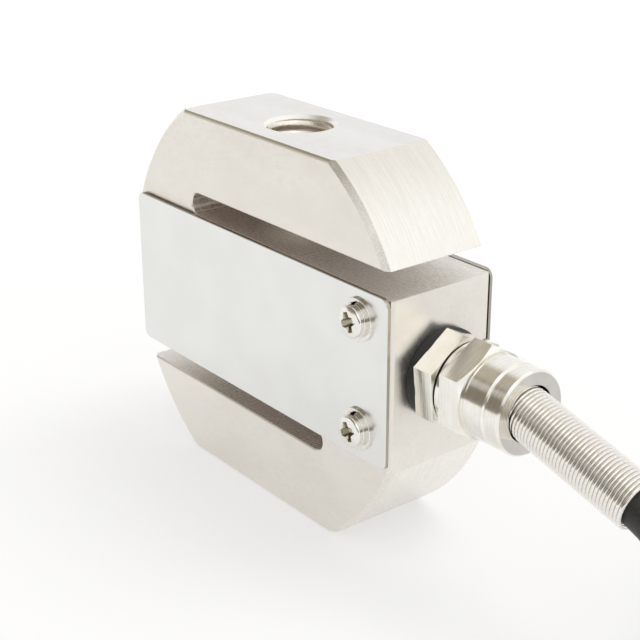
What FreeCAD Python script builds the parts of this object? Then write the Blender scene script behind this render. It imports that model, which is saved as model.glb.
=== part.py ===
import FreeCAD, Part
import math
import os

V = FreeCAD.Vector

# S type load cell, in millimetres, +Z up, standing on its lower face.
# The origin is on the loading axis, in the plane of the lower face.
# X runs along the slots and the cable leaves towards +X. The front is -Y.

# Body block
body_width = 70.0
body_height = 64.0
body_thickness = 20.0
top_flat_width = 41.0
side_flat_height = 29.6
corner_bulge = 1.7
corner_chamfer = 0.85
edge_chamfer = 0.5
middle_height = 28.0
slot_width = 4.0
slot_past_axis = 18.1
slot_edge_chamfer = 0.2

# Load threads, M12, drawn at the pitch radius
load_thread_radius = 5.43
load_countersink_radius = 6.05

# Pockets for the gauges and the wiring, milled from both faces down to a thin web
web_thickness = 3.0
gauge_pocket_radius = 9.0
bore_to_pocket = 1.0
wiring_pocket_length = 13.0
wiring_pocket_height = 12.0
wiring_pocket_corner = 2.0
channel_width = 3.0
wire_passage_radius = 4.5
web_hole_radius = 1.0
web_hole_past_pocket = 1.8

# Covers and their gaskets
cover_side_margin = 0.3
cover_overhang = 0.2
cover_thickness = 0.6
cover_corner = 1.5
cover_edge = 0.15
cover_hole_radius = 1.7
gasket_thickness = 0.2
gasket_inset = 0.4
gasket_window_margin = 1.5
gasket_to_wiring_pocket = 0.1

# Cover screws, M3 pan head with a spring washer and a flat washer
screw_to_side = 7.0
screw_spacing = 18.4
screw_radius = 1.5
screw_length = 7.0
screw_hole_depth = 7.5
screw_clearance = 0.05
head_radius = 2.6
head_height = 1.1
head_dome = 0.4
head_edge = 0.35
recess_span = 3.5
recess_slot = 0.95
recess_middle = 1.5
recess_bottom_span = 1.9
recess_bottom_slot = 0.5
recess_bottom_middle = 0.7
recess_depth = 1.2
recess_turn = 25.0
flat_washer_radius = 3.55
flat_washer_thickness = 0.5
spring_washer_radius = 2.85
spring_washer_thickness = 0.6
washer_hole_radius = 1.65
spring_washer_gap = 0.7
washer_edge = 0.12

# Strain gauges, boards and wires in the pockets
gauge_length = 5.0
gauge_width = 3.2
gauge_thickness = 0.15
gauge_offset = 3.3
gauge_turn = 45.0
board_length = 9.0
board_width = 9.0
board_thickness = 1.0
pad_length = 1.8
pad_width = 1.2
pad_thickness = 0.2
pad_pitch = 2.1
pad_count = 4
resistor_length = 3.2
resistor_width = 1.6
resistor_height = 0.8
resistor_pitch = 2.4
resistor_count = 3
gauge_wire_radius = 0.12
gauge_wire_pitch = 0.6
gauge_wire_start = 1.3
gauge_wire_on_board = 0.8
gauge_wire_lift = 0.2
core_radius = 0.35
core_pitch = 0.95
core_offset = 1.65
core_straight = 5.2
jacket_gap = 0.15
seat_gap = 0.02

# Cable gland along X, at the middle of the body's height
gland_thread_radius = 6.0
gland_thread_length = 8.0
gland_bore_depth = 8.5
thread_clearance = 0.05
seal_thickness = 1.8
seal_radius = 7.4
seal_edge = 0.6
gland_flats = 14.0
gland_body_turn = 5.0
gland_hex_length = 3.9
gland_gap = 0.2
collar_radius = 7.05
collar_length = 1.2
nut_hex_length = 4.2
nut_corner_chamfer = 0.6
sleeve_ring_radius = 6.85
sleeve_ring_length = 0.5
sleeve_radius = 6.7
sleeve_length = 7.2
groove_radius = 6.3
groove_width = 0.7
groove_to_end = 2.7
nut_edge_chamfer = 0.3
nut_hole_radius = 4.45
nut_lip = 1.0
nut_pocket_radius = 5.5
cable_bore_radius = 3.4
grommet_radius = 4.9
grommet_length = 5.0
grommet_clearance = 0.25
nut_thread_end_gap = 0.3
clamp_ring_thickness = 0.8
clamp_ring_radius = 5.3

# Close wound strain relief spring, straight but tilted down where it leaves the gland
spring_tilt = 15.4
spring_radius = 4.1
spring_wire = 0.65
spring_coils = 40
spring_inside = 3.4
spring_flare_coils = 2
spring_flare_radius = 4.7
spring_to_clamp = 0.85

# Cable and the neat coil of the length that is put away
cable_radius = 3.0
cable_in_gland = 7.5
coil_x = 121.5
coil_columns = 3
coil_layers = 5
turn_pitch = 6.1
coil_inner_radius = 23.6
coil_edge = 2.9
tie_thickness = 1.2
tie_width = 3.6
tie_clearance = 0.15
tie_head_length = 5.5
tie_head_height = 3.6
tie_angles = (140.0, 215.0)

# Stripped end of the cable
lead_radius = 0.5
lead_gap = 0.3
lead_knee_angle = 13.0
lead_knee_lift = 0.8
lead_end_angle = 36.0
lead_end_radius = 33.5
lead_start_pitch = 1.2
lead_knee_pitch = 1.6
lead_end_pitch = 2.6
lead_tip_radius = 0.3
lead_tip_length = 5.0
lead_names = ("lead_red", "lead_black", "lead_green", "lead_white", "lead_shield")

# How far a cutting shape runs past the face that it cuts, and how near counts as the same place
past = 1.0
same_place = 1e-6

# Share of the shorter run that a cord's arc takes up on each side of its corner
bend_share = 0.45

# Values that follow from the sizes above
middle_z = body_height / 2
half_width = body_width / 2
half_thickness = body_thickness / 2
half_middle = middle_height / 2
half_web = web_thickness / 2
cover_seat = half_thickness + gasket_thickness
cover_face = cover_seat + cover_thickness
cover_width = body_width - 2 * cover_side_margin
cover_height = middle_height + 2 * cover_overhang
screw_x = half_width - screw_to_side
gland_inner_end_x = half_width - gland_thread_length
gland_bore_end_x = half_width - gland_bore_depth
wiring_pocket_right = gland_bore_end_x - bore_to_pocket
wiring_pocket_left = wiring_pocket_right - wiring_pocket_length
web_hole_x = gauge_pocket_radius + web_hole_past_pocket
cable_start_x = half_width - cable_in_gland
seal_x = half_width
gland_hex_x = seal_x + seal_thickness
nut_x = gland_hex_x + gland_hex_length + gland_gap
nut_hex_x = nut_x + collar_length
sleeve_x = nut_hex_x + nut_hex_length
nut_end_x = sleeve_x + sleeve_ring_length + sleeve_length
lip_x = nut_end_x - nut_lip
pivot_x = nut_end_x - nut_lip / 2
clamp_end_x = lip_x - spring_inside - spring_to_clamp
clamp_x = clamp_end_x - clamp_ring_thickness
grommet_x = clamp_x - grommet_length
gland_tail_x = clamp_x - nut_thread_end_gap
gauge_top = half_web + seat_gap + gauge_thickness
board_mid_x = (wiring_pocket_left + wiring_pocket_right) / 2
board_top = half_web + seat_gap + board_thickness
pad_top = board_top + pad_thickness
coil_width = coil_columns * turn_pitch
coil_outer_radius = coil_inner_radius + coil_width
coil_bottom = tie_thickness + tie_clearance
coil_height = coil_layers * turn_pitch
coil_top = coil_bottom + coil_height
coil_y = coil_outer_radius - turn_pitch / 2


# Small builders

def box(x0, x1, y0, y1, z0, z1):
    return Part.makeBox(x1 - x0, y1 - y0, z1 - z0, V(x0, y0, z0))


def rod(radius, start, end):
    axis = end - start
    return Part.makeCylinder(radius, axis.Length, start, axis)


def rounded_plate(width, height, corner, y0, y1, x_mid=0.0, z_mid=0.0):
    plate = box(x_mid - width / 2, x_mid + width / 2, y0, y1, z_mid - height / 2, z_mid + height / 2)
    edges = [e for e in plate.Edges if abs(e.tangentAt(e.FirstParameter).y) > 0.9]
    return plate.makeFillet(corner, edges)


def ring(outer, inner, start, end):
    return rod(outer, start, end).cut(rod(inner, start, end))


def turned(points, base, tilt=0.0):
    """A solid turned about an axis through base. The axis runs along +X, tipped down by tilt degrees.

    Each point is (distance along the axis, radius). A third value, where given, is the
    (distance, radius) of a point that the edge from the point before passes through as an arc.
    """
    edges = []
    closed = list(points) + [points[0][:2]]
    for before, after in zip(closed, closed[1:]):
        start = V(before[0], 0, before[1])
        end = V(after[0], 0, after[1])
        if len(after) == 3:
            through = V(after[2][0], 0, after[2][1])
            edges.append(Part.Arc(start, through, end).toShape())
        else:
            edges.append(Part.LineSegment(start, end).toShape())
    solid = Part.Face(Part.Wire(edges)).revolve(V(0, 0, 0), V(1, 0, 0), 360)
    solid.rotate(V(0, 0, 0), V(0, 1, 0), tilt)
    solid.translate(base)
    return solid


def hexagon(across_flats, x0, x1, turn):
    """A hexagon bar along X about the gland's axis, with one corner up before it is turned."""
    radius = across_flats / math.sqrt(3)
    corners = []
    for k in range(6):
        angle = math.radians(90 + turn + 60 * k)
        corners.append(V(x0, radius * math.cos(angle), middle_z + radius * math.sin(angle)))
    return Part.Face(Part.makePolygon(corners + corners[:1])).extrude(V(x1 - x0, 0, 0))


def bent_tube(radius, points, name):
    """A round bar along straight runs joined by tangent arcs, each as large as its runs allow."""
    edges = []
    radii = []
    at = points[0]
    for before, corner, after in zip(points, points[1:], points[2:]):
        to_before = (before - corner).normalize()
        to_after = (after - corner).normalize()
        half_turn = (math.pi - to_before.getAngle(to_after)) / 2
        setback = bend_share * min((before - corner).Length, (after - corner).Length)
        bend = setback / math.tan(half_turn)
        start = corner + to_before * setback
        end = corner + to_after * setback
        inward = (to_before + to_after).normalize()
        middle = corner + inward * (bend / math.cos(half_turn) - bend)
        edges.append(Part.LineSegment(at, start).toShape())
        edges.append(Part.Arc(start, middle, end).toShape())
        radii.append(round(bend, 1))
        at = end
    edges.append(Part.LineSegment(at, points[-1]).toShape())
    path = Part.Wire(edges)
    along = (points[1] - points[0]).normalize()
    section = Part.Wire(Part.makeCircle(radius, points[0], along))
    tube = path.makePipeShell([section], True, True)
    expected = math.pi * radius ** 2 * path.Length
    print(name, "length", round(path.Length, 1), "arc radii", radii, "volume ratio",
          round(tube.Volume / expected, 4))
    return tube


def mirrored(shape):
    """The same piece on the rear face."""
    return shape.mirror(V(0, 0, 0), V(0, 1, 0))


# Body

def body_blank():
    top = top_flat_width / 2
    side = side_flat_height / 2

    def corner(sx, sz):
        flat_end = V(sx * top, 0, sz * middle_z)
        side_end = V(sx * half_width, 0, sz * side)
        chord = side_end - flat_end
        outward = V(sx * abs(chord.z), 0, sz * abs(chord.x)).normalize()
        return flat_end, (flat_end + side_end) * 0.5 + outward * corner_bulge, side_end

    edges = []
    quarters = [corner(1, 1), corner(1, -1)[::-1], corner(-1, -1), corner(-1, 1)[::-1]]
    for quarter, following in zip(quarters, quarters[1:] + quarters[:1]):
        edges.append(Part.Arc(*quarter).toShape())
        edges.append(Part.LineSegment(quarter[2], following[0]).toShape())
    face = Part.Face(Part.Wire(edges))
    face.translate(V(0, -half_thickness, middle_z))
    blank = face.extrude(V(0, body_thickness, 0))
    for size, wanted in ((corner_chamfer, "Circle"), (edge_chamfer, "Line")):
        rim = []
        for edge in blank.Edges:
            on_face = all(abs(abs(v.Y) - half_thickness) < same_place for v in edge.Vertexes)
            if on_face and edge.Curve.TypeId == "Part::Geom" + wanted:
                rim.append(edge)
        blank = blank.makeChamfer(size, rim)
    return blank


def slot_height(side):
    """The middle of the upper slot (1), which is open to +X, or of the lower one (-1)."""
    return middle_z + side * (half_middle + slot_width / 2)


def slot(side):
    """The whole cut, which widens at the front and rear faces to leave a small chamfer there."""
    z_mid = slot_height(side)
    end_x = -side * (slot_past_axis - slot_width / 2)
    open_x = side * (half_width + past)
    y = half_thickness + past
    half = slot_width / 2
    cut = box(min(end_x, open_x), max(end_x, open_x), -y, y, z_mid - half, z_mid + half)
    cuts = [rod(half, V(end_x, -y, z_mid), V(end_x, y, z_mid))]
    flare = slot_edge_chamfer + past
    for face in (-1, 1):
        y_in = face * (half_thickness - slot_edge_chamfer)
        cuts.append(Part.makeCone(half, half + flare, flare, V(end_x, y_in, z_mid), V(0, face, 0)))
        corners = [V(end_x, y_in, z_mid - half), V(end_x, face * y, z_mid - half - flare),
                   V(end_x, face * y, z_mid + half + flare), V(end_x, y_in, z_mid + half)]
        wedge = Part.Face(Part.makePolygon(corners + corners[:1]))
        cuts.append(wedge.extrude(V(open_x - end_x, 0, 0)))
    return cut.fuse(cuts)


def load_thread(side):
    """The upper (1) or lower (-1) hole, from the outer face of its arm to the slot."""
    face_z = middle_z + side * middle_z
    sink = load_countersink_radius - load_thread_radius
    hole = rod(load_thread_radius, V(0, 0, face_z + side * past), V(0, 0, slot_height(side)))
    cone = Part.makeCone(load_countersink_radius + past, load_thread_radius, sink + past,
                         V(0, 0, face_z + side * past), V(0, 0, -side))
    return hole.fuse(cone)


def pockets():
    """The recesses behind the front cover."""
    y_out = -half_thickness - past
    gauge = rod(gauge_pocket_radius, V(0, y_out, middle_z), V(0, -half_web, middle_z))
    wiring = rounded_plate(wiring_pocket_right - wiring_pocket_left, wiring_pocket_height,
                           wiring_pocket_corner, y_out, -half_web, board_mid_x, middle_z)
    channel = box(0, wiring_pocket_left + past, y_out, -half_web,
                  middle_z - channel_width / 2, middle_z + channel_width / 2)
    return gauge.fuse([wiring, channel])


def screw_places():
    return [V(screw_x, 0, middle_z + side * screw_spacing / 2) for side in (1, -1)]


def body():
    shape = body_blank()
    cuts = [slot(1), slot(-1), load_thread(1), load_thread(-1), pockets(), mirrored(pockets())]
    bore_end = V(gland_bore_end_x, 0, middle_z)
    cuts.append(rod(gland_thread_radius + thread_clearance, V(half_width + past, 0, middle_z), bore_end))
    cuts.append(rod(wire_passage_radius, bore_end + V(past, 0, 0),
                    V(wiring_pocket_right - past, 0, middle_z)))
    cuts.append(rod(web_hole_radius, V(web_hole_x, -half_thickness, middle_z),
                    V(web_hole_x, half_thickness, middle_z)))
    for place in screw_places():
        for side in (-1, 1):
            cuts.append(rod(screw_radius + screw_clearance, place + V(0, side * (half_thickness + past), 0),
                            place + V(0, side * (half_thickness - screw_hole_depth), 0)))
    return shape.cut(cuts)


# Cover, gasket and their fasteners, all drawn on the front

def front_rounded(shape, y, radius):
    """The shape with each edge that lies in the plane at y rounded."""
    rim = [e for e in shape.Edges if all(abs(v.Y - y) < same_place for v in e.Vertexes)]
    return shape.makeFillet(radius, rim)


def cover():
    plate = rounded_plate(cover_width, cover_height, cover_corner, -cover_face, -cover_seat, 0, middle_z)
    plate = front_rounded(plate, -cover_face, cover_edge)
    for place in screw_places():
        plate = plate.cut(rod(cover_hole_radius, place - V(0, cover_face + past, 0), place))
    return plate


def gasket():
    sheet = rounded_plate(cover_width - 2 * gasket_inset, middle_height - 2 * gasket_inset, cover_corner,
                          -cover_seat, -half_thickness, 0, middle_z)
    reach = gauge_pocket_radius + gasket_window_margin
    window = box(-reach, wiring_pocket_right + gasket_to_wiring_pocket, -cover_face, 0,
                 middle_z - reach, middle_z + reach)
    sheet = sheet.cut(window)
    for place in screw_places():
        sheet = sheet.cut(rod(cover_hole_radius, place - V(0, cover_face, 0), place))
    return sheet


def flat_washer(place):
    start = place - V(0, cover_face, 0)
    end = start - V(0, flat_washer_thickness, 0)
    return front_rounded(ring(flat_washer_radius, washer_hole_radius, start, end), end.y, washer_edge)


def spring_washer(place):
    start = place - V(0, cover_face + flat_washer_thickness, 0)
    end = start - V(0, spring_washer_thickness, 0)
    washer = front_rounded(ring(spring_washer_radius, washer_hole_radius, start, end), end.y, washer_edge)
    slit = box(-spring_washer_gap / 2, spring_washer_gap / 2, end.y - past, start.y + past,
               0, spring_washer_radius + past)
    slit.rotate(V(0, end.y, 0), V(0, 0, 1), recess_turn)
    slit.translate(V(place.x, 0, place.z))
    return washer.cut(slit)


def cross_recess(y_top):
    """A tapered cross, wide at y_top and narrow at its bottom, whose arms widen to its middle."""
    wires = []
    top = (y_top, recess_span / 2, recess_slot / 2, recess_middle / 2)
    bottom = (y_top + recess_depth, recess_bottom_span / 2, recess_bottom_slot / 2, recess_bottom_middle / 2)
    for y, reach, width, inner in (top, bottom):
        points = []
        for k in range(4):
            angle = math.radians(90 * k + recess_turn)
            for a, b in ((inner, inner), (reach, width), (reach, -width)):
                points.append(V(a * math.cos(angle) + b * math.sin(angle), y,
                                a * math.sin(angle) - b * math.cos(angle)))
        wires.append(Part.makePolygon(points + points[:1]))
    return Part.makeLoft(wires, True, True)


def cover_screw(place):
    seat = cover_face + flat_washer_thickness + spring_washer_thickness
    dome_radius = (head_radius ** 2 + head_dome ** 2) / (2 * head_dome)
    midway = head_height - dome_radius + math.sqrt(dome_radius ** 2 - head_radius ** 2 / 4)
    head = turned([(0, 0), (0, head_radius), (head_height - head_dome, head_radius),
                   (head_height, 0, (midway, head_radius / 2))], V(0, 0, 0))
    head.rotate(V(0, 0, 0), V(0, 0, 1), -90)
    head = front_rounded(head, head_dome - head_height, head_edge)
    shank = rod(screw_radius, V(0, 0, 0), V(0, screw_length, 0))
    screw = head.fuse(shank).removeSplitter()
    screw = screw.cut(cross_recess(-head_height))
    screw.translate(place - V(0, seat, 0))
    return screw


# Inside the pockets, drawn on the front

def strain_gauges():
    gauges = []
    for side in (-1, 1):
        foil = box(-gauge_length / 2, gauge_length / 2, -gauge_top, -half_web - seat_gap,
                   -gauge_width / 2, gauge_width / 2)
        foil.rotate(V(0, 0, 0), V(0, 1, 0), side * gauge_turn)
        foil.translate(V(side * gauge_offset, 0, middle_z))
        gauges.append(foil)
    return gauges


def board():
    return rounded_plate(board_length, board_width, wiring_pocket_corner / 2, -board_top,
                         -half_web - seat_gap, board_mid_x, middle_z)


def row_heights(count, pitch):
    return [middle_z + (k - (count - 1) / 2) * pitch for k in range(count)]


def terminal_pads():
    pads = []
    for z in row_heights(pad_count, pad_pitch):
        pads.append(box(board_mid_x - pad_length / 2, board_mid_x + pad_length / 2, -pad_top, -board_top,
                        z - pad_width / 2, z + pad_width / 2))
    return pads


def balance_resistors():
    parts = []
    for z in row_heights(resistor_count, resistor_pitch):
        parts.append(box(board_mid_x - resistor_length / 2, board_mid_x + resistor_length / 2,
                         -board_top - resistor_height, -board_top,
                         z - resistor_width / 2, z + resistor_width / 2))
    return parts


def gauge_wires():
    """Fine wires from the gauges' inner ends to the board, lying in the channel."""
    wires = []
    start_y = -gauge_top - gauge_wire_radius
    end_x = board_mid_x - board_length / 2 + gauge_wire_on_board
    for z in row_heights(pad_count, gauge_wire_pitch):
        start = V(gauge_offset + gauge_wire_start, start_y, z)
        wires.append(rod(gauge_wire_radius, start, V(end_x, -board_top - gauge_wire_lift, z)))
    return wires


def web_link_wires():
    """Wires through the web that join the two pockets."""
    wires = []
    for z in row_heights(2, web_hole_radius):
        wires.append(rod(gauge_wire_radius, V(web_hole_x, -gauge_top, z), V(web_hole_x, gauge_top, z)))
    return wires


def cable_cores():
    """The four insulated cores, from the end of the cable's jacket to the terminal pads."""
    cores = []
    level = -pad_top - core_radius - seat_gap
    for start_z, z in zip(row_heights(pad_count, core_pitch), row_heights(pad_count, pad_pitch)):
        start = V(cable_start_x - jacket_gap, -core_offset, start_z)
        knee = V(board_mid_x + core_straight, level - seat_gap, (start_z + z) / 2)
        cores.append(bent_tube(core_radius, [start, knee, V(board_mid_x, level, z)], "core"))
    return cores


# Cable gland

def gland_point(x):
    return V(x, 0, middle_z)


def gland_seal_ring():
    bore = gland_thread_radius + thread_clearance
    return turned([(0, bore), (0, seal_radius - seal_edge / 2), (seal_edge, seal_radius),
                   (seal_thickness - seal_edge, seal_radius),
                   (seal_thickness, seal_radius - seal_edge / 2), (seal_thickness, bore)],
                  gland_point(seal_x))


def gland_body():
    shape = hexagon(gland_flats, gland_hex_x, gland_hex_x + gland_hex_length, gland_body_turn)
    shape = shape.fuse(rod(gland_thread_radius, gland_point(gland_inner_end_x), gland_point(gland_tail_x)))
    bore = rod(cable_bore_radius, gland_point(gland_inner_end_x - past), gland_point(gland_tail_x + past))
    seat = rod(grommet_radius + thread_clearance, gland_point(grommet_x), gland_point(gland_tail_x + past))
    return shape.cut([bore, seat]).removeSplitter()


def gland_grommet():
    bore = cable_radius + grommet_clearance
    return ring(grommet_radius, bore, gland_point(grommet_x), gland_point(clamp_x))


def gland_clamp_ring():
    return ring(clamp_ring_radius, cable_bore_radius, gland_point(clamp_x), gland_point(clamp_end_x))


def gland_cap_nut():
    hex_part = hexagon(gland_flats, nut_hex_x, sleeve_x, 0)
    corner = gland_flats / math.sqrt(3)
    shoulder = nut_hex_length - nut_corner_chamfer
    chamfer_limit = turned([(0, 0), (0, corner + past), (shoulder, corner + past), (shoulder, corner),
                            (nut_hex_length, gland_flats / 2), (nut_hex_length, 0)], gland_point(nut_hex_x))
    hex_part = hex_part.common(chamfer_limit)
    end = nut_end_x - nut_x
    sleeve = sleeve_x - nut_x
    groove = end - groove_to_end
    outside = turned([(0, 0), (0, collar_radius - nut_edge_chamfer), (nut_edge_chamfer, collar_radius),
                      (collar_length, collar_radius), (collar_length, sleeve_ring_radius),
                      (sleeve + sleeve_ring_length, sleeve_ring_radius),
                      (sleeve + sleeve_ring_length, sleeve_radius),
                      (groove - groove_width, sleeve_radius),
                      (groove - groove_width / 2, groove_radius),
                      (groove, sleeve_radius),
                      (end - nut_edge_chamfer, sleeve_radius),
                      (end, sleeve_radius - nut_edge_chamfer), (end, 0)], gland_point(nut_x))
    shape = outside.fuse(hex_part)
    mouth = gland_point(nut_x - past)
    inside = [rod(gland_thread_radius + thread_clearance, mouth, gland_point(gland_tail_x)),
              rod(nut_pocket_radius, mouth, gland_point(lip_x)),
              rod(nut_hole_radius, mouth, gland_point(nut_end_x + past))]
    return shape.cut(inside).removeSplitter()


def strain_relief_spring():
    """Ribbed outer form of the close wound spring, one round rib for each coil."""
    start = -spring_inside
    end = start + spring_coils * spring_wire
    bore = spring_radius - spring_wire
    flare_end = start + spring_flare_coils * spring_wire
    flare_bore = spring_flare_radius - spring_wire
    profile = [(start, flare_bore), (start, spring_flare_radius - spring_wire / 2)]
    for k in range(spring_coils):
        crest = spring_flare_radius if k < spring_flare_coils else spring_radius
        s = start + k * spring_wire
        if k == spring_flare_coils:
            profile.append((s, crest - spring_wire / 2))
        profile.append((s + spring_wire, crest - spring_wire / 2, (s + spring_wire / 2, crest)))
    profile += [(end, bore), (flare_end, bore), (flare_end, flare_bore)]
    return turned(profile, gland_point(pivot_x), spring_tilt)


# Cable, coil and stripped end

def ring_point(angle, radius, z):
    turn = math.radians(angle)
    return V(coil_x + radius * math.cos(turn), coil_y + radius * math.sin(turn), z)


def cable_coil():
    bundle = [(coil_inner_radius, coil_bottom), (coil_outer_radius, coil_bottom),
              (coil_outer_radius, coil_top), (coil_inner_radius, coil_top)]
    corners = [V(r, 0, z) for r, z in bundle]
    solid = Part.Face(Part.makePolygon(corners + corners[:1])).revolve(V(0, 0, 0), V(0, 0, 1), 360)
    rims = [e for e in solid.Edges if e.Curve.TypeId == "Part::GeomCircle"]
    solid = solid.makeFillet(coil_edge, rims)
    solid.translate(V(coil_x, coil_y, 0))
    return solid


# The cable's route, from the end of its jacket inside the body to the coil
cable_points = [
    V(27.5, 0, 32.0),
    V(40.5, 0, 32.0),
    V(53.5, 0, 32.45),
    V(79.5, 0, 24.85),
    V(90.5, -0.2, 15.4),
    V(100.5, -1.0, 8.4),
    V(110.5, -0.7, 4.5),
    V(120.5, 0, 4.4),
]

# The tail of the cable, which climbs out of the coil and lies on top of it.
# Each point is an angle round the coil, a radius and a height above the coil's top.
tail_turns = [
    (-24, 27.2, -3.4),
    (8, 28.8, 1.0),
    (37, 31.0, 2.9),
    (62, 33.0, 3.0),
    (84, 35.3, 3.0),
]


def cable(coil):
    tube = bent_tube(cable_radius, cable_points, "cable")
    return tube.cut(coil)


def cable_tail(coil):
    points = [ring_point(angle, radius, coil_top + z) for angle, radius, z in tail_turns]
    return bent_tube(cable_radius, points, "cable_tail").cut(coil)


def cable_ties():
    """Straps round the bundle, each with its square head on the outside."""
    ties = []
    near = coil_inner_radius - tie_clearance
    far = coil_outer_radius + tie_clearance
    low = coil_bottom - tie_clearance
    high = coil_top + tie_clearance
    for angle in tie_angles:
        inside = box(near, far, -tie_width, tie_width, low, high)
        outside = box(near - tie_thickness, far + tie_thickness, -tie_width / 2, tie_width / 2,
                      low - tie_thickness, high + tie_thickness)
        edges = [e for e in outside.Edges if abs(e.tangentAt(e.FirstParameter).y) > 0.9]
        strap = outside.makeFillet(tie_thickness, edges).cut(inside)
        head = box(far, far + tie_head_height, -tie_head_length / 2, tie_head_length / 2,
                   coil_top - tie_head_length, coil_top)
        tie = strap.fuse(head).removeSplitter()
        tie.rotate(V(0, 0, 0), V(0, 0, 1), angle)
        tie.translate(V(coil_x, coil_y, 0))
        ties.append(tie)
    return ties


def leads():
    """Five wires that leave the tail's end and come down to lie on the coil, with bare tips."""
    before, end = [ring_point(angle, radius, coil_top + z) for angle, radius, z in tail_turns[-2:]]
    along = (end - before).normalize()
    across = V(along.y, -along.x, 0)
    end_angle, end_radius = tail_turns[-1][:2]
    rest_z = coil_top + lead_radius
    insulation = []
    tips = []
    for k, name in enumerate(lead_names):
        place = k - (len(lead_names) - 1) / 2
        start = end + along * lead_gap + across * (place * lead_start_pitch)
        knee = ring_point(end_angle + lead_knee_angle, end_radius + place * lead_knee_pitch,
                          rest_z + lead_knee_lift)
        far = ring_point(end_angle + lead_end_angle, lead_end_radius + place * lead_end_pitch, rest_z)
        lead = bent_tube(lead_radius, [start, knee, far], name)
        insulation.append(lead)
        out = V(far.x - knee.x, far.y - knee.y, 0).normalize()
        tips.append(rod(lead_tip_radius, far + out * seat_gap, far + out * lead_tip_length))
    return insulation, tips


# Build every piece

pieces = {"body": body()}
places = screw_places()
front = {
    "cover": cover(),
    "cover_gasket": gasket(),
    "cover_screws": [cover_screw(p) for p in places],
    "spring_washers": [spring_washer(p) for p in places],
    "flat_washers": [flat_washer(p) for p in places],
    "strain_gauges": strain_gauges(),
}
for name, shapes in front.items():
    shapes = shapes if isinstance(shapes, list) else [shapes]
    pieces["front_" + name] = Part.makeCompound(shapes) if len(shapes) > 1 else shapes[0]
    rear = [mirrored(s) for s in shapes]
    pieces["rear_" + name] = Part.makeCompound(rear) if len(rear) > 1 else rear[0]

pieces["terminal_board"] = board()
pieces["terminal_pads"] = Part.makeCompound(terminal_pads())
pieces["front_gauge_wires"] = Part.makeCompound(gauge_wires())
pieces["cable_cores"] = Part.makeCompound(cable_cores())
pieces["balance_board"] = mirrored(board())
pieces["balance_resistors"] = mirrored(Part.makeCompound(balance_resistors()))
pieces["rear_gauge_wires"] = mirrored(Part.makeCompound(gauge_wires()))
pieces["web_link_wires"] = Part.makeCompound(web_link_wires())
pieces["gland_seal_ring"] = gland_seal_ring()
pieces["gland_body"] = gland_body()
pieces["gland_grommet"] = gland_grommet()
pieces["gland_clamp_ring"] = gland_clamp_ring()
pieces["gland_cap_nut"] = gland_cap_nut()
pieces["strain_relief_spring"] = strain_relief_spring()
coil = cable_coil()
pieces["cable"] = cable(coil)
pieces["cable_coil"] = coil
pieces["cable_tail"] = cable_tail(coil)
pieces["cable_ties"] = Part.makeCompound(cable_ties())
insulation, tips = leads()
for name, shape in zip(lead_names, insulation):
    pieces[name] = shape
pieces["lead_tips"] = Part.makeCompound(tips)

os.makedirs("parts", exist_ok=True)
for name, shape in pieces.items():
    if not shape.isValid():
        print("not valid:", name)
    shape.exportStep("parts/" + name + ".step")
    print(name, "solids", len(shape.Solids), "volume", round(shape.Volume, 2))
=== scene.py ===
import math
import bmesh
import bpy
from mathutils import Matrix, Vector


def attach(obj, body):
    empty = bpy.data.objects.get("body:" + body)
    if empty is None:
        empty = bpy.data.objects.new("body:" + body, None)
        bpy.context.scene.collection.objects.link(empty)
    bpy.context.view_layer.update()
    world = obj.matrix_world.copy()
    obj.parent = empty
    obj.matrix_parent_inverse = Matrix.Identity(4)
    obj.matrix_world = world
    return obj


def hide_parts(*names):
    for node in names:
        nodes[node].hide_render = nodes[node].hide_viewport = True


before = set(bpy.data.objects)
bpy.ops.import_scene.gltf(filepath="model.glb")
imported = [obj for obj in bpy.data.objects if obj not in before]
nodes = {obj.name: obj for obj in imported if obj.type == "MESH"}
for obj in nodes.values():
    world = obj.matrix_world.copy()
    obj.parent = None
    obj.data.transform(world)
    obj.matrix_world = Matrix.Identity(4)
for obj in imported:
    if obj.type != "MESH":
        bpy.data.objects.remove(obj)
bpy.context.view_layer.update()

# %% [markdown]
# # An S type load cell
#
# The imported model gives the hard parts: the S-shaped block, its covers, the screws, the cable gland
# and the gauges inside. This script gives them their finishes, and makes the few pieces that a plain
# solid can't show: the wound wire of the spring, the thread in the load holes and the coiled cable.
# Every length is in metres, in the same frame as the solids. The block stands on z = 0 with its
# loading axis on the origin, its front faces -Y, and the cable leaves towards +X.

mm = 0.001

# %% [markdown]
# ## The camera
#
# A camera could be placed by eye until the picture looks right. Here the real camera's place is known
# from the block's straight edges and the round ends of its gland, so it is stated as a photographer
# would: how far round the object, how far above it, how far away, and a small slide to the side and
# up, because the object doesn't sit exactly in the middle of the frame.

# %% The camera
block_middle = Vector((0, 0, 32 * mm))
round_object, above_object, lean = math.radians(51.796), math.radians(22.511), math.radians(-0.169)
camera_distance = 242.949 * mm
slide_right, slide_up = 3.074 * mm, -2.562 * mm

towards_camera = Vector((math.sin(round_object) * math.cos(above_object),
                         -math.cos(round_object) * math.cos(above_object), math.sin(above_object)))
level_right = Vector((math.cos(round_object), math.sin(round_object), 0))
level_up = towards_camera.cross(level_right)
frame_right = math.cos(lean) * level_right + math.sin(lean) * level_up
frame_up = math.cos(lean) * level_up - math.sin(lean) * level_right

camera = bpy.data.objects.new("camera", bpy.data.cameras.new("camera"))
bpy.context.scene.collection.objects.link(camera)
camera.data.sensor_width = 36
camera.data.lens = 79.39
camera.data.clip_start = 10 * mm
spot = block_middle + towards_camera * camera_distance + frame_right * slide_right + frame_up * slide_up
camera_axes = Matrix((frame_right, frame_up, towards_camera)).transposed().to_4x4()
camera.matrix_world = Matrix.Translation(spot) @ camera_axes
bpy.context.scene.camera = camera
bpy.context.scene.view_settings.view_transform = "Standard"
print("camera at", [round(v, 3) for v in spot], "lens", camera.data.lens)

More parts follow.
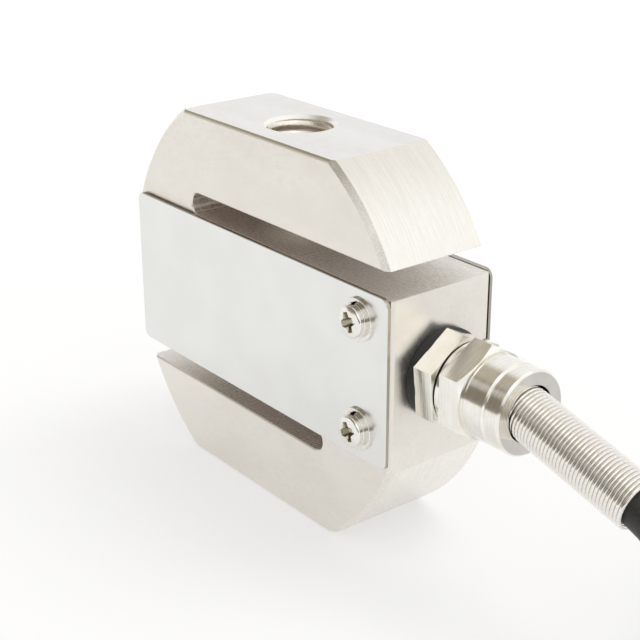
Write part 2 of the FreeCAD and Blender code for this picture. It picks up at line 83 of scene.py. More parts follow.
# %% [markdown]
# ## The cable
#
# A cable is one long tube that follows one smooth line, so a curve with a round bevel suits it better
# than a mesh. It starts where its jacket ends inside the block, runs through the gland and the spring,
# falls to the table in a gentle S and is wound into a neat coil. The curve is a NURBS spline, which
# passes near its control points and never kinks.

# %% The cable's free run
cable_radius = 3 * mm
cable_run = [
    (27.5, 0, 32.0),
    (40.5, 0, 32.0),
    (53.5, 0, 32.45),
    (79.5, 0, 24.85),
    (90.5, -0.2, 15.4),
    (100.5, -1.5, 8.3),
    (110.5, -1.2, 4.4),
    (120.5, 0, 4.4),
]
print("free run:", len(cable_run), "points")

# %% [markdown]
# The coil is wound the way a careful hand does it: three turns side by side, five layers high. Each
# layer keeps its turns round and steps over to the next one in a short stretch. A turn that climbs to
# the next layer does it just before the place where its neighbour steps over, so that no two turns
# ever want the same room, and these places creep back a little from layer to layer. A spline runs a
# little inside its control points, so they lie a little further out than the turn that is wanted.

# %% The cable's coil
coil_middle = (121.5, 38.85)
inner_radius, lowest_centre, turn_pitch = 26.65, 4.4, 6.1
column_count, layer_count = 3, 5
column_radii = [inner_radius + turn_pitch * column for column in range(column_count)]
layer_heights = [lowest_centre + turn_pitch * layer for layer in range(layer_count + 1)]
points_a_turn = 24
cuts_inside = math.cos(math.pi / points_a_turn)

# In degrees of winding: how long a step is, how far steps creep back, and where the first one ends.
step_length, creep, first_step_end = 120, 60, 352

# Each step is where it starts, in degrees of winding from the coil's first point, and the
# (column, layer) that it leads to. Columns count from the inside. Even layers wind inwards.
winding = []
turned = first_step_end - step_length
for layer in range(layer_count):
    columns = (1, 0) if layer % 2 == 0 else (1, 2)
    winding += [(turned, (columns[0], layer)), (turned + 360, (columns[1], layer))]
    turned += 720 - creep
    winding.append((turned, (columns[1], layer + 1)))
    turned += 360 - creep
coil_end = winding[-1][0]
print("winding:", [(round(turn / 360, 2), place) for turn, place in winding])


def wound_place(turn):
    """Radius and height of the cable after that many degrees of winding."""
    radius, height = column_radii[2], layer_heights[0]
    for start, (column, layer) in winding:
        share = 0.5 - 0.5 * math.cos(math.pi * min(max((turn - start) / step_length, 0), 1))
        radius += share * (column_radii[column] - radius)
        height += share * (layer_heights[layer] - height)
    return radius, height


def round_coil(angle, radius, height):
    """A point at that angle round the coil's middle, in degrees."""
    turn = math.radians(angle)
    return (coil_middle[0] + radius * math.cos(turn), coil_middle[1] + radius * math.sin(turn), height)


coil_run = []
for k in range(1, round(coil_end * points_a_turn / 360) + 1):
    turned = k * 360 / points_a_turn
    radius, height = wound_place(turned)
    coil_run.append(round_coil(turned - 90, radius / cuts_inside, height))

tail_run = [round_coil(*point) for point in (
    (-24, 26.75, 29.1), (-8, 27.1, 30.7), (8, 27.9, 32.6), (24, 29.2, 34.2), (40, 30.9, 34.95),
    (55, 32.6, 34.85), (70, 34.0, 34.85), (84, 35.3, 34.85))]
print("coil:", len(coil_run), "points, tail:", len(tail_run))

# %% The cable as a bevelled curve
cable_points = cable_run + coil_run + tail_run
cable_curve = bpy.data.curves.new("cable", "CURVE")
cable_curve.dimensions = "3D"
line = cable_curve.splines.new("NURBS")
line.points.add(len(cable_points) - 1)
for point, place in zip(line.points, cable_points):
    point.co = (*[value * mm for value in place], 1)
line.order_u = 3
line.use_endpoint_u = True
line.resolution_u = 4
cable_curve.bevel_depth = cable_radius
cable_curve.bevel_resolution = 6
cable_curve.use_fill_caps = True
cable = bpy.data.objects.new("black_cable", cable_curve)
bpy.context.scene.collection.objects.link(cable)
print("cable:", len(cable_points), "control points")

# %% [markdown]
# ## The room, the floor and the lamps
#
# Bright metal shows what stands round it more than its own colour, so the room matters as much as the
# finish. A picture of a studio could be wrapped round the scene, but a few shaded directions in the
# world do the same and are easy to change. The room is white, with a slightly duller ceiling. High on
# the left and behind the camera it is unlit, because polished round parts look flat without dark
# bands. A window high on the right behind the camera lights the chamfers that face it.

# %% A short way to write shader nodes
def add(tree, kind, inputs, **settings):
    """Makes a shader node with its settings and inputs, and gives its first output, if it has one."""
    made = tree.nodes.new("ShaderNode" + kind)
    for name, value in settings.items():
        setattr(made, name, value)
    for name, value in inputs.items():
        if isinstance(value, bpy.types.NodeSocket):
            tree.links.new(value, made.inputs[name])
        else:
            made.inputs[name].default_value = value
    return made.outputs[0] if made.outputs else made


def maths(tree, operation, first, second=0.0):
    return add(tree, "Math", {0: first, 1: second}, operation=operation)


def product(tree, first, *others):
    """All the values multiplied."""
    for value in others:
        first = maths(tree, "MULTIPLY", first, value)
    return first


def scaled(tree, value, low, high, to_low=0.0, to_high=1.0):
    """The value's range from low to high, stretched smoothly to another range."""
    return add(tree, "MapRange", {"Value": value, "From Min": low, "From Max": high, "To Min": to_low,
                                  "To Max": to_high}, interpolation_type="SMOOTHSTEP")


def tint(tree, share, first, second):
    """One colour at a share of 0 and the other at 1."""
    made = tree.nodes.new("ShaderNodeMix")
    made.data_type = "RGBA"
    for socket, value in ((made.inputs[0], share), (made.inputs[6], first), (made.inputs[7], second)):
        if isinstance(value, bpy.types.NodeSocket):
            tree.links.new(value, socket)
        else:
            socket.default_value = (*value, 1)
    return made.outputs[2]


def direct_rays(tree):
    """The kinds of ray, and 1 for those of the camera, of gloss and of glass."""
    kinds = tree.nodes.new("ShaderNodeLightPath").outputs
    mirrored = maths(tree, "MAXIMUM", kinds["Is Glossy Ray"], kinds["Is Transmission Ray"])
    return kinds, maths(tree, "MAXIMUM", kinds["Is Camera Ray"], mirrored)


print("shader helpers are ready")

# %% The world
world = bpy.data.worlds.new("studio")
bpy.context.scene.world = world
world.use_nodes = True
room = world.node_tree
room.nodes.clear()
kinds, direct = direct_rays(room)
direction = room.nodes.new("ShaderNodeTexCoord").outputs["Generated"]
looks_right, looks_back, looks_up = add(room, "SeparateXYZ", {0: direction}).node.outputs

ceiling = scaled(room, looks_up, 0.62, 0.84)
left_wall = product(room, scaled(room, looks_right, -0.25, -0.5), scaled(room, looks_up, 0.42, 0.58),
                    scaled(room, looks_back, 0.32, 0.05))
right_window = product(room, scaled(room, looks_right, 0.0, 0.22), scaled(room, looks_up, 0.15, 0.34))
behind_camera = product(room, scaled(room, looks_back, -0.3, -0.5), scaled(room, looks_up, -0.16, -0.08),
                        scaled(room, looks_up, 0.96, 0.86), maths(room, "SUBTRACT", 1.0, right_window))

white = (1, 1, 1)
room_colour = white
for place, colour in ((ceiling, (0.90, 0.88, 0.85)), (left_wall, (0.50, 0.45, 0.37)),
                      (behind_camera, (0.24, 0.21, 0.165)), (kinds["Is Camera Ray"], white)):
    room_colour = tint(room, place, room_colour, colour)
soft_light = add(room, "Background", {"Color": (*white, 1), "Strength": 0.8})
seen_room = add(room, "Background", {"Color": room_colour, "Strength": 1.0})
add(room, "OutputWorld", {"Surface": add(room, "MixShader", {0: direct, 1: soft_light, 2: seen_room})})
print("world:", len(room.nodes), "nodes")

# %% [markdown]
# The floor is matt and pale. A pale floor alone would render grey, and more lamps would burn the
# object out, so it also glows a little, but only for the camera and for metal that mirrors it. That
# keeps the soft shadow and puts no light on the object. It ends a little in front of the block, and
# past that edge the metal sees the white room. The coil of cable is left out of reflections further
# down, so in them its shadow is filled up too.

# %% The floor
floor_half, floor_shift = 1.5, 1.1
floor_mesh = bmesh.new()
bmesh.ops.create_grid(floor_mesh, x_segments=1, y_segments=1, size=floor_half)
bmesh.ops.translate(floor_mesh, verts=floor_mesh.verts, vec=(0, floor_shift, 0))
floor_data = bpy.data.meshes.new("floor")
floor_mesh.to_mesh(floor_data)
floor_mesh.free()
floor = bpy.data.objects.new("floor", floor_data)
bpy.context.scene.collection.objects.link(floor)
print("floor:", [round(v, 2) for v in floor.dimensions])

# %% The floor's paint
pale_floor = bpy.data.materials.new("pale_floor")
pale_floor.use_nodes = True
paint = pale_floor.node_tree
paint.nodes.clear()
kinds, direct = direct_rays(paint)
floor_place = paint.nodes.new("ShaderNodeTexCoord").outputs["Object"]
from_object = add(paint, "VectorMath", {0: floor_place}, operation="LENGTH").node.outputs["Value"]
coil_place = (coil_middle[0] * mm, coil_middle[1] * mm, 0)
from_coil = add(paint, "VectorMath", {0: floor_place, 1: coil_place}, operation="DISTANCE").node.outputs
fill = product(paint, scaled(paint, from_coil["Value"], 110 * mm, 50 * mm, 0, 0.08), kinds["Is Glossy Ray"])
# The glow is weaker close to the object. This is painted shade round it, which the metal mirrors.
glow_strength = maths(paint, "ADD", scaled(paint, from_object, 60 * mm, 450 * mm, 0.49, 0.62), fill)

matt_seen = add(paint, "BsdfDiffuse", {"Color": (0.5, 0.497, 0.49, 1)})
matt_unseen = add(paint, "BsdfDiffuse", {"Color": (0.75, 0.75, 0.74, 1)})
glow = add(paint, "Emission", {"Color": (*white, 1), "Strength": glow_strength})
seen_floor = add(paint, "AddShader", {0: matt_seen, 1: glow})
floor_surface = add(paint, "MixShader", {0: direct, 1: matt_unseen, 2: seen_floor})
add(paint, "OutputMaterial", {"Surface": floor_surface})
floor_data.materials.append(pale_floor)
print("floor paint:", len(paint.nodes), "nodes")

# %% [markdown]
# Most of the light comes from the white room. The lamps only add a direction to it. The one above
# throws the soft shadow, and polished faces would mirror it as a burnt patch, so it is kept out of
# reflections. The other three are weak and are there to be mirrored: a small one on the left draws a
# streak along the nut, a large one on the right brightens the rounded corner, and one above the
# gland lights the flat of its hexagon.

# %% The lamps
def soft_lamp(name, place, aim, size, power):
    """A square area lamp that points at a place."""
    lamp = bpy.data.lights.new(name, "AREA")
    lamp.shape = "SQUARE"
    lamp.size = size
    lamp.energy = power
    stand = bpy.data.objects.new(name, lamp)
    bpy.context.scene.collection.objects.link(stand)
    facing = (Vector(place) - Vector(aim)).normalized().to_track_quat("Z", "Y")
    stand.matrix_world = Matrix.Translation(place) @ facing.to_matrix().to_4x4()
    return stand


lamps = [soft_lamp("lamp_above", (0.15, 0.3, 0.7), block_middle, 0.4, 1.5),
         soft_lamp("lamp_left", (-0.5, -0.42, 0.45), block_middle, 0.2, 0.05),
         soft_lamp("lamp_right", (0.60, 0.25, 0.55), block_middle, 0.9, 0.4),
         soft_lamp("lamp_gland", (0.55, -0.13, 0.64), block_middle, 0.4, 0.2)]
lamp_above = lamps[0]
lamp_above.visible_glossy = False
print("lamps:", [lamp.name for lamp in lamps])

# %% [markdown]
# ## The spring's wire
#
# The strain relief is a spring wound so closely that its coils touch. A screw modifier could draw it,
# but spinning one round wire section about the spring's axis, with a small slide along it at each
# step, gives the same wire in one operator. The first coils are wider, to sit behind the nut's lip.

# %% The spring's wire
wire_thickness = 0.65 * mm
spring_radius = 4.1 * mm
spring_coils = 40
spring_start = -3.4 * mm
steps_a_coil = 32
flare_end = spring_start + 2 * wire_thickness
flare_widening = 0.6 * mm
spring_tilt = math.radians(15.4)
spring_pivot = Vector((53.5, 0, 32)) * mm

wire = bmesh.new()
section = bmesh.ops.create_circle(wire, radius=wire_thickness / 2, segments=10)
bmesh.ops.rotate(wire, verts=wire.verts, matrix=Matrix.Rotation(math.radians(90), 3, "X"))
bmesh.ops.translate(wire, verts=wire.verts,
                    vec=(spring_start + wire_thickness / 2, 0, spring_radius - wire_thickness / 2))
turns = spring_coils - 1
bmesh.ops.spin(wire, geom=wire.verts[:] + wire.edges[:], cent=(0, 0, 0), axis=(1, 0, 0),
               dvec=(wire_thickness / steps_a_coil, 0, 0), angle=math.radians(360 * turns),
               steps=steps_a_coil * turns, use_merge=False, use_duplicate=False)
print("spring along its axis, mm:", round(min(v.co.x for v in wire.verts) / mm, 2), "to",
      round(max(v.co.x for v in wire.verts) / mm, 2))

# %% The spring's wider coils, its ends and its place
for vertex in wire.verts:
    share = min(max((flare_end + wire_thickness - vertex.co.x) / wire_thickness, 0), 1)
    out = Vector((0, vertex.co.y, vertex.co.z))
    vertex.co += out.normalized() * flare_widening * share
bmesh.ops.holes_fill(wire, edges=[e for e in wire.edges if e.is_boundary], sides=12)
bmesh.ops.recalc_face_normals(wire, faces=wire.faces)
bmesh.ops.rotate(wire, verts=wire.verts, matrix=Matrix.Rotation(spring_tilt, 3, "Y"))
bmesh.ops.translate(wire, verts=wire.verts, vec=spring_pivot)


def piece_from(shape, name, smooth=True):
    """Puts a finished shape into the scene as a piece that rides on the block."""
    data = bpy.data.meshes.new(name)
    shape.to_mesh(data)
    shape.free()
    if smooth:
        data.shade_smooth()
    piece = bpy.data.objects.new(name, data)
    bpy.context.scene.collection.objects.link(piece)
    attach(piece, "root")
    print(name + ":", len(data.polygons), "faces")
    return piece


spring_wire = piece_from(wire, "spring_wire")
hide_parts("strain_relief_spring")

# %% [markdown]
# ## The threads in the load holes
#
# Each load hole is threaded right through its arm. The solid's hole is plain, so the ridges of the
# thread are added to its wall. A thread is a helix too: the ridge's cross-section is spun about the
# hole's axis and rises by one pitch a turn. At both ends the ridge sinks into the wall, as it does
# where a tap starts in the countersink.

# %% The load threads
thread_pitch = 1.75 * mm
wall_radius = 5.48 * mm
crest_radius = 5.06 * mm
thread_low, thread_high = 50.3 * mm, 63.75 * mm
runout = 0.3 * thread_pitch
ridge = [(wall_radius, -0.46), (crest_radius, -0.11), (crest_radius, 0.11), (wall_radius, 0.46)]
turns = (thread_high - thread_low) / thread_pitch - 1
steps = round(48 * turns)

thread = bmesh.new()
corners = [thread.verts.new((radius, 0, thread_low + (0.5 + up) * thread_pitch)) for radius, up in ridge]
edges = [thread.edges.new(pair) for pair in zip(corners, corners[1:])]
bmesh.ops.spin(thread, geom=corners + edges, cent=(0, 0, 0), axis=(0, 0, 1),
               dvec=(0, 0, thread_pitch * turns / steps), angle=math.radians(360 * turns), steps=steps,
               use_merge=False, use_duplicate=False)
for vertex in thread.verts:
    to_end = min(vertex.co.z - thread_low, thread_high - vertex.co.z)
    share = min(max(to_end / runout, 0), 1)
    flat = Vector((vertex.co.x, vertex.co.y))
    flat = flat.normalized() * (wall_radius + (flat.length - wall_radius) * share)
    vertex.co.x, vertex.co.y = flat
bmesh.ops.recalc_face_normals(thread, faces=thread.faces)
middle_face = thread.faces[len(thread.faces) // 2]
to_axis = -Vector((middle_face.calc_center_median().x, middle_face.calc_center_median().y, 0))
print("ridge faces the axis:", middle_face.normal.dot(to_axis) > 0)

# %% The lower thread is the upper one turned over
upside_down = Matrix.Translation((0, 0, 64 * mm)) @ Matrix.Rotation(math.pi, 4, "X")
copied = bmesh.ops.duplicate(thread, geom=thread.verts[:] + thread.edges[:] + thread.faces[:])
lower_corners = [piece for piece in copied["geom"] if isinstance(piece, bmesh.types.BMVert)]
bmesh.ops.transform(thread, matrix=upside_down, verts=lower_corners)
load_threads = piece_from(thread, "load_threads")

# %% [markdown]
# ## Finishes
#
# Every finish is built from noise on Object coordinates, which are metres here, so a grain of 0.3 mm
# is written as 0.3 mm. Two or three such layers move the colour, the roughness and the height of the
# surface a little, which is what makes metal look like metal and rubber like rubber.

# %% Helpers for finishes
finishes = {}


def finish(slot, colour, roughness, metallic=0.0):
    """A named finish with its colour and gloss, ready for its grain."""
    made = bpy.data.materials.new(slot)
    made.use_nodes = True
    shader = made.node_tree.nodes["Principled BSDF"]
    shader.inputs["Base Color"].default_value = (*colour, 1)
    shader.inputs["Roughness"].default_value = roughness
    shader.inputs["Metallic"].default_value = metallic
    finishes[slot] = made
    return made.node_tree, shader


def grain(tree, size, stretch=(1, 1, 1), detail=3.0):
    """Noise with features of about that size, drawn out along an axis where stretch is over 1."""
    place = tree.nodes.new("ShaderNodeTexCoord").outputs["Object"]
    place = add(tree, "Mapping", {"Vector": place, "Scale": tuple(1 / along for along in stretch)})
    return add(tree, "TexNoise", {"Vector": place, "Scale": 1 / size, "Detail": detail, "Roughness": 0.55})


def relief(tree, shader, height, depth):
    """Bumps of that depth in the surface."""
    normal = add(tree, "Bump", {"Height": height, "Distance": depth, "Strength": 1.0})
    tree.links.new(normal, shader.inputs["Normal"])


def shades(tree, shader, share, dark, light):
    """The colour moves between two shades."""
    tree.links.new(tint(tree, share, dark, light), shader.inputs["Base Color"])


print("finish helpers are ready")

# %% [markdown]
# ### The block's nickel
#
# The block is steel, ground flat and nickel plated, so its finish changes from place to place: satin
# on the flat faces, brushed along the curve on the rounded corners and rough with milling marks in the
# two slots. Light is painted into its colour too: a cool painted light on the top faces, a painted
# highlight on the corners and in the countersinks, painted shade deep in the slots and a painted
# reflection on the top chamfers. Separate materials would need the mesh to be split. One material can
# do all of that, because a point's place and the way its surface faces tell which cut made it.

# %% Ways to tell places apart
def over(tree, value, limit):
    """1 where the value is over the limit."""
    return maths(tree, "GREATER_THAN", value, limit)


def under(tree, value, limit):
    return maths(tree, "LESS_THAN", value, limit)


def unsigned(tree, value):
    return maths(tree, "ABSOLUTE", value)


def along_axes(tree, vector):
    """A vector's parts along X, Y and Z."""
    return add(tree, "SeparateXYZ", {0: vector}).node.outputs


def distance(tree, first, second):
    """How far away a place is that lies so far along two axes."""
    both = add(tree, "CombineXYZ", {0: first, 1: second})
    return add(tree, "VectorMath", {0: both}, operation="LENGTH").node.outputs["Value"]


def place_and_facing(tree, kind="True Normal"):
    """Where a point is, and how far its surface faces along each axis, without the sign."""
    place = tree.nodes.new("ShaderNodeTexCoord").outputs["Object"]
    facing = tree.nodes.new("ShaderNodeNewGeometry").outputs[kind]
    return along_axes(tree, place), [unsigned(tree, part) for part in along_axes(tree, facing)]


print("ready to tell places apart")

# %% Where each cut is
tree, shader = finish("body_nickel", (0.83, 0.80, 0.735), 0.36, 1.0)
(across, deep, high), (facing_x, facing_y, facing_z) = place_and_facing(tree)
above_middle = maths(tree, "SUBTRACT", high, 32 * mm)
from_middle = unsigned(tree, above_middle)

towards_mouth = product(tree, across, maths(tree, "SIGN", above_middle))
near_mouth = scaled(tree, towards_mouth, -2 * mm, 33 * mm)
slot_height = add(tree, "Math", {0: from_middle, 1: 16 * mm, 2: 2.01 * mm}, operation="COMPARE")
in_slot = product(tree, slot_height, under(tree, unsigned(tree, deep), 9.79 * mm),
                  under(tree, unsigned(tree, across), 34.99 * mm), over(tree, towards_mouth, -20.2 * mm))

slanted = product(tree, over(tree, facing_x, 0.2), over(tree, facing_z, 0.2))
on_corner = product(tree, slanted, under(tree, facing_y, 0.3), maths(tree, "SUBTRACT", 1.0, in_slot))
bevelled = product(tree, over(tree, facing_y, 0.3), under(tree, facing_y, 0.93))
on_chamfer = product(tree, bevelled, slanted)
on_flat_chamfer = product(tree, bevelled, under(tree, facing_x, 0.2), over(tree, from_middle, 30 * mm))
on_flats = product(tree, over(tree, facing_z, 0.95), over(tree, from_middle, 31.5 * mm))

from_axis = distance(tree, across, deep)
off_flats = under(tree, facing_z, 0.95)
in_hole = product(tree, under(tree, from_axis, 6.2 * mm), off_flats)
on_countersink = product(tree, over(tree, from_axis, 5.5 * mm), off_flats)
print("block finish:", len(tree.nodes), "nodes so far")

# %% The marks of the tools
def blend(tree, *layers):
    """The sum of values, each given with its share."""
    total = product(tree, *layers[0])
    for value, share in layers[1:]:
        total = maths(tree, "ADD", total, product(tree, value, share))
    return total


milling_pitch, milling_sway = 0.5 * mm, 14.0
cloud = grain(tree, 6 * mm, stretch=(2.5, 1, 1), detail=4)
mottle = grain(tree, 0.7 * mm, stretch=(2.5, 1, 1), detail=4)
speck = grain(tree, 0.16 * mm, detail=2)
pits = grain(tree, 0.4 * mm, stretch=(1, 1.6, 1), detail=3)
streak = grain(tree, 0.16 * mm, stretch=(40, 1, 40), detail=3)
wander = grain(tree, 2.5 * mm, stretch=(1, 4, 1), detail=2)
cutter_path = blend(tree, (across, 2 * math.pi / milling_pitch), (wander, milling_sway))
milling = maths(tree, "ADD", product(tree, maths(tree, "SINE", cutter_path), 0.5), 0.5)
print("block finish:", len(tree.nodes), "nodes so far")

# %% The block's colour
plating = tint(tree, scaled(tree, blend(tree, (cloud, 0.5), (mottle, 0.5)), 0.38, 0.62),
               (0.815, 0.777, 0.713), (0.855, 0.82, 0.765))
# The flat top and bottom faces get a cooler, lighter colour: painted light, standing in for a cool light
# from above.
top_faces_painted_cool_light = tint(tree, scaled(tree, cloud, 0.38, 0.62), (0.82, 0.81, 0.79), (0.85, 0.84, 0.82))
# The rounded corners have real brushed streaks. They are also painted lighter than the faces, which is a
# painted highlight.
corner_streaks_and_sheen = tint(tree, scaled(tree, streak, 0.35, 0.65), (0.84, 0.81, 0.75), (0.90, 0.88, 0.83))
specks = scaled(tree, speck, 0.35, 0.65)
chamfer_plating = tint(tree, specks, (0.80, 0.76, 0.69), (0.95, 0.92, 0.86))
# The chamfers along the top edges are painted cream below and dark olive along their top: a painted
# reflection of the room.
top_chamfer_painted_reflection = tint(tree, scaled(tree, from_middle, 31.6 * mm, 31.8 * mm), (0.92, 0.88, 0.80),
                            (0.50, 0.47, 0.37))

groove = blend(tree, (pits, 0.7), (milling, 0.3))
# In the slots, the colour and the dark milling marks grow darker deeper in, away from the open end. This is
# painted shade on top of the real marks.
marks_and_shade_share = product(tree, scaled(tree, groove, 0.62, 0.32), scaled(tree, near_mouth, 0.3, 1.0, 0.7, 0.3))
slot_marks_and_painted_shade = tint(tree, near_mouth, (0.86, 0.785, 0.73), (0.97, 0.94, 0.89))
slot_marks_and_painted_shade = tint(tree, marks_and_shade_share, slot_marks_and_painted_shade, (0.35, 0.31, 0.26))
thread_plating = tint(tree, specks, (0.80, 0.74, 0.65), (0.97, 0.93, 0.86))
# The countersinks of the load holes are painted near white: a painted highlight. The hole walls keep their
# random specks.
hole_grain_and_countersink_highlight = tint(tree, on_countersink, thread_plating, (0.97, 0.96, 0.93))

colour = plating
for place, shade in ((on_flats, top_faces_painted_cool_light), (on_corner, corner_streaks_and_sheen), (in_slot, slot_marks_and_painted_shade),
                     (on_chamfer, chamfer_plating), (on_flat_chamfer, top_chamfer_painted_reflection),
                     (in_hole, hole_grain_and_countersink_highlight)):
    colour = tint(tree, place, colour, shade)
tree.links.new(colour, shader.inputs["Base Color"])
print("block finish:", len(tree.nodes), "nodes so far")

# %% The block's gloss and relief
slot_roughness = scaled(tree, near_mouth, 0.3, 1.0, 0.24, 0.1)
roughness = blend(tree, (scaled(tree, mottle, 0.3, 0.7, 0.31, 0.41), 1.0), (in_slot, slot_roughness),
                  (on_corner, -0.04))
tree.links.new(roughness, shader.inputs["Roughness"])
marks = blend(tree, (mottle, 0.45), (speck, 0.4), (product(tree, streak, on_corner), 0.5),
              (product(tree, milling, in_slot), 7.0), (product(tree, pits, in_slot), 12.0))
relief(tree, shader, marks, 6e-6)
print("block finish:", len(tree.nodes), "nodes")

# %% [markdown]
# ### The covers and the fasteners
#
# The covers are thin bright sheet, cut on a press, so their faces have a faint grain along their
# length. Their edges are painted dark, a painted shadow and reflection along the rim. The screws and
# washers are plated and polished by tumbling, and their cross recess is painted dark as painted shade.
# As on the block, place and facing tell these apart.

# %% The covers
tree, shader = finish("cover_sheet", (0.86, 0.86, 0.835), 0.24, 1.0)
facing_y = place_and_facing(tree, "Normal")[1][1]
rolled = grain(tree, 0.12 * mm, stretch=(60, 1, 1), detail=3)
stain = grain(tree, 9 * mm, detail=3)
sheet = tint(tree, scaled(tree, stain, 0.35, 0.65), (0.79, 0.79, 0.765), (0.815, 0.815, 0.79))
# Where the cover's surface turns away from the front, along its edges, it is painted dark: a painted shadow
# and reflection along the rim.
edge_painted_shade = scaled(tree, facing_y, 0.45, 0.25)
tree.links.new(tint(tree, edge_painted_shade, sheet, (0.42, 0.38, 0.32)), shader.inputs["Base Color"])
tree.links.new(scaled(tree, rolled, 0.3, 0.7, 0.2, 0.26), shader.inputs["Roughness"])
relief(tree, shader, rolled, 1e-6)
print("covers:", len(tree.nodes), "nodes")

# %% The screws and the washers
screw_across, screw_above_middle, recess_reach = 28 * mm, 9.2 * mm, 1.9 * mm
tree, shader = finish("fastener_nickel", (0.88, 0.86, 0.82), 0.14, 1.0)
(across, deep, high), (facing_x, facing_y, facing_z) = place_and_facing(tree)
from_middle = unsigned(tree, maths(tree, "SUBTRACT", high, 32 * mm))
from_screw = distance(tree, maths(tree, "SUBTRACT", across, screw_across),
                      maths(tree, "SUBTRACT", from_middle, screw_above_middle))
recess_painted_shade = product(tree, under(tree, from_screw, recess_reach), scaled(tree, facing_y, 0.8, 0.6))
scuff = grain(tree, 0.25 * mm, detail=4)
polished = tint(tree, scaled(tree, scuff, 0.35, 0.7), (0.80, 0.78, 0.74), (0.90, 0.885, 0.85))
# The cross recess is painted dark: painted shade.
tree.links.new(tint(tree, recess_painted_shade, polished, (0.40, 0.37, 0.27)), shader.inputs["Base Color"])
tree.links.new(scaled(tree, scuff, 0.3, 0.7, 0.08, 0.15), shader.inputs["Roughness"])
relief(tree, shader, scuff, 1.2e-6)

tree, shader = finish("washer_steel", (0.82, 0.80, 0.76), 0.15, 1.0)
scuff = grain(tree, 0.3 * mm, detail=4)
shades(tree, shader, scaled(tree, scuff, 0.35, 0.7), (0.76, 0.74, 0.69), (0.87, 0.85, 0.81))
tree.links.new(scaled(tree, scuff, 0.3, 0.7, 0.1, 0.2), shader.inputs["Roughness"])
relief(tree, shader, scuff, 1.5e-6)
print("fasteners:", sorted(finishes))

# %% [markdown]
# ### The gland and the spring
#
# The gland is turned from brass and plated, so its marks run round its axis: noise that is short along
# X and long the other ways. Darker lines along them are a painted reflection. A texture wrapped round
# the axis would do it too, but would need a seam. The spring is drawn wire, bright and a little uneven
# from coil to coil.

# %% The gland and the spring
tree, shader = finish("gland_nickel", (0.86, 0.84, 0.79), 0.14, 1.0)
lathe = grain(tree, 0.1 * mm, stretch=(1, 60, 60), detail=2)
turning_marks_and_reflections = grain(tree, 0.24 * mm, stretch=(1, 60, 60), detail=2)
blotch = grain(tree, 1.5 * mm, detail=3)
nickel = tint(tree, scaled(tree, blotch, 0.35, 0.65), (0.88, 0.855, 0.795), (0.915, 0.895, 0.85))
# The turning marks are real, and the darker lines painted along them are a painted reflection of the room.
nickel = tint(tree, scaled(tree, turning_marks_and_reflections, 0.6, 0.35, 0.0, 0.12), nickel, (0.52, 0.47, 0.39))
tree.links.new(nickel, shader.inputs["Base Color"])
tree.links.new(scaled(tree, lathe, 0.3, 0.7, 0.13, 0.21), shader.inputs["Roughness"])
relief(tree, shader, blend(tree, (lathe, 0.4), (turning_marks_and_reflections, 1.0)), 11e-6)

tree, shader = finish("spring_steel", (0.80, 0.79, 0.77), 0.2, 1.0)
drawn = grain(tree, 0.15 * mm, detail=3)
shades(tree, shader, scaled(tree, drawn, 0.3, 0.7), (0.74, 0.71, 0.66), (0.93, 0.905, 0.87))
tree.links.new(scaled(tree, drawn, 0.3, 0.7, 0.10, 0.18), shader.inputs["Roughness"])
relief(tree, shader, drawn, 2e-6)
print("bright metals:", sorted(finishes))

# %% [markdown]
# ### Rubber, plastic and the parts inside
#
# The cable's jacket and the seals are black and matt, with a fine bloom. The rest is hardly seen, but
# each still gets the grain that its real material has.

# %% Rubber, plastic and the parts inside
def grained(slot, dark, light, roughness, size, depth, metallic=0.0, stretch=(1, 1, 1)):
    """A finish whose colour, gloss and surface all follow one grain."""
    tree, shader = finish(slot, light, roughness, metallic)
    texture = grain(tree, size, stretch, detail=4)
    shades(tree, shader, scaled(tree, texture, 0.3, 0.7), dark, light)
    tree.links.new(scaled(tree, texture, 0.3, 0.7, roughness - 0.06, roughness + 0.06),
                   shader.inputs["Roughness"])
    relief(tree, shader, texture, depth)


grained("jacket", (0.016, 0.016, 0.016), (0.032, 0.031, 0.030), 0.5, 0.3 * mm, 12e-6)
grained("seal_rubber", (0.008, 0.008, 0.008), (0.02, 0.02, 0.019), 0.55, 0.25 * mm, 10e-6)
grained("grommet_rubber", (0.02, 0.02, 0.02), (0.04, 0.04, 0.038), 0.6, 0.3 * mm, 10e-6)
grained("clamp_nylon", (0.60, 0.57, 0.50), (0.74, 0.71, 0.64), 0.45, 0.5 * mm, 6e-6)
grained("tie_nylon", (0.66, 0.65, 0.60), (0.80, 0.79, 0.74), 0.38, 0.8 * mm, 6e-6)
grained("gauge_foil", (0.55, 0.30, 0.08), (0.75, 0.45, 0.16), 0.35, 0.15 * mm, 3e-6, 0.5, (6, 1, 1))
grained("board_laminate", (0.02, 0.10, 0.04), (0.04, 0.17, 0.07), 0.4, 0.3 * mm, 4e-6)
grained("resistor_body", (0.015, 0.015, 0.018), (0.04, 0.04, 0.045), 0.4, 0.2 * mm, 4e-6)
grained("core_insulation", (0.20, 0.20, 0.19), (0.32, 0.32, 0.30), 0.4, 0.2 * mm, 4e-6)
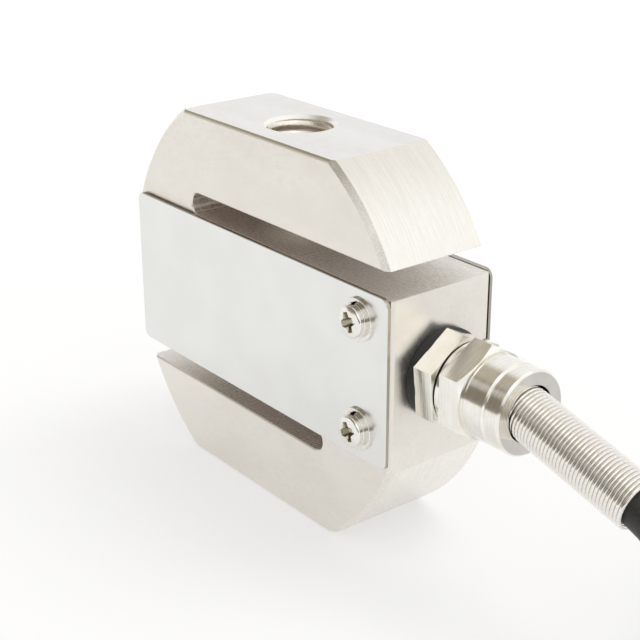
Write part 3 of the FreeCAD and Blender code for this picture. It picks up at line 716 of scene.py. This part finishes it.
grained("wire_enamel", (0.30, 0.08, 0.02), (0.48, 0.15, 0.04), 0.25, 0.1 * mm, 2e-6)
grained("pad_tin", (0.66, 0.65, 0.62), (0.82, 0.81, 0.79), 0.28, 0.2 * mm, 6e-6, 1.0)
grained("strand_tin", (0.60, 0.59, 0.56), (0.80, 0.79, 0.76), 0.28, 0.12 * mm, 10e-6, 1.0)
grained("gasket_sheet", (0.03, 0.03, 0.03), (0.06, 0.06, 0.055), 0.7, 0.2 * mm, 6e-6)
grained("lead_red", (0.50, 0.015, 0.012), (0.62, 0.03, 0.02), 0.38, 0.4 * mm, 4e-6)
grained("lead_black", (0.012, 0.012, 0.012), (0.025, 0.025, 0.024), 0.38, 0.4 * mm, 4e-6)
grained("lead_green", (0.02, 0.20, 0.05), (0.04, 0.30, 0.08), 0.38, 0.4 * mm, 4e-6)
grained("lead_white", (0.70, 0.70, 0.67), (0.80, 0.80, 0.77), 0.38, 0.4 * mm, 4e-6)
grained("lead_shield", (0.50, 0.49, 0.46), (0.76, 0.75, 0.72), 0.32, 0.12 * mm, 14e-6, 1.0)
print("finishes:", len(finishes))

# %% Each solid takes the finish of its slot
for name, solid in sorted(nodes.items()):
    for slot in solid.material_slots:
        slot.material = finishes[slot.material.name.split(".")[0]]
spring_wire.data.materials.append(finishes["spring_steel"])
load_threads.data.materials.append(finishes["body_nickel"])
cable_curve.materials.append(finishes["jacket"])
print("dressed:", len(nodes), "solids")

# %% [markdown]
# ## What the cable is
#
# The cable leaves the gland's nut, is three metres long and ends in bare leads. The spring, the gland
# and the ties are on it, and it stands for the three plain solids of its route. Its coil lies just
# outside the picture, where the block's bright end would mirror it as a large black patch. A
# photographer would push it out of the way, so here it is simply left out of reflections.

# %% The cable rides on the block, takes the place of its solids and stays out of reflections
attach(cable, "root")
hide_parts("cable", "cable_coil", "cable_tail")
at_coil = [nodes[name] for name in (
    "cable_ties", "lead_red", "lead_black", "lead_green", "lead_white", "lead_shield", "lead_tips")]
for piece in [cable] + at_coil:
    piece.visible_glossy = False
